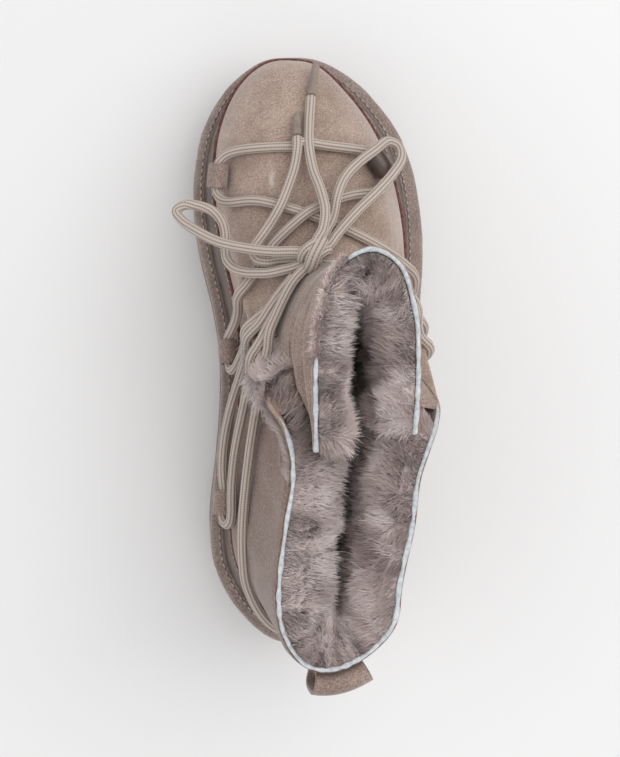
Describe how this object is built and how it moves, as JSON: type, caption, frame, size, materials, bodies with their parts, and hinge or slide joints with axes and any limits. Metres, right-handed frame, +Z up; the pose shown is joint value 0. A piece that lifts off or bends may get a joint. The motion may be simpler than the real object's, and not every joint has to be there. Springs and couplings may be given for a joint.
{
  "type": "sheepskin boot",
  "caption": "Low platform boot for the right foot: suede upper lined with fleece, fleece-lined tongue, braided lace tied in a bow through side keepers, and a pull tab at the heel",
  "frame": {"origin": "on the floor under the middle of the sole's length, on a flat lug of the outsole", "axes": "+Z up, +Y towards the toe, +X towards the lateral side of the right foot"},
  "size_m": [0.1197, 0.2859, 0.165],
  "materials": {
    "outsole_rubber": "matte moulded",
    "platform_suede": "suede",
    "suede": "suede",
    "rand_leather": "smooth satin",
    "fleece": "deep pile sheepskin",
    "lace": "round braid",
    "aglet": "matte"
  },
  "bodies": {
    "root": {"outsole": "outsole_rubber", "platform": "platform_suede", "insole": "fleece", "upper": "suede", "rand": "rand_leather", "collar_fleece": "fleece", "tongue": "suede", "tongue_fleece": "fleece", "pull_tab": "suede", "keeper_medial_front": "suede", "keeper_medial_mid": "suede", "keeper_medial_rear": "suede", "keeper_lateral_front": "rand_leather", "keeper_lateral_mid": "suede", "keeper_lateral_rear": "suede", "lace_crossings": "lace", "lace_knot": "lace", "lace_loop_lateral": "lace", "lace_loop_medial": "lace", "lace_end_long": "lace", "lace_end_short": "lace", "aglet_long": "aglet", "aglet_short": "aglet"}
  },
  "joints": []
}
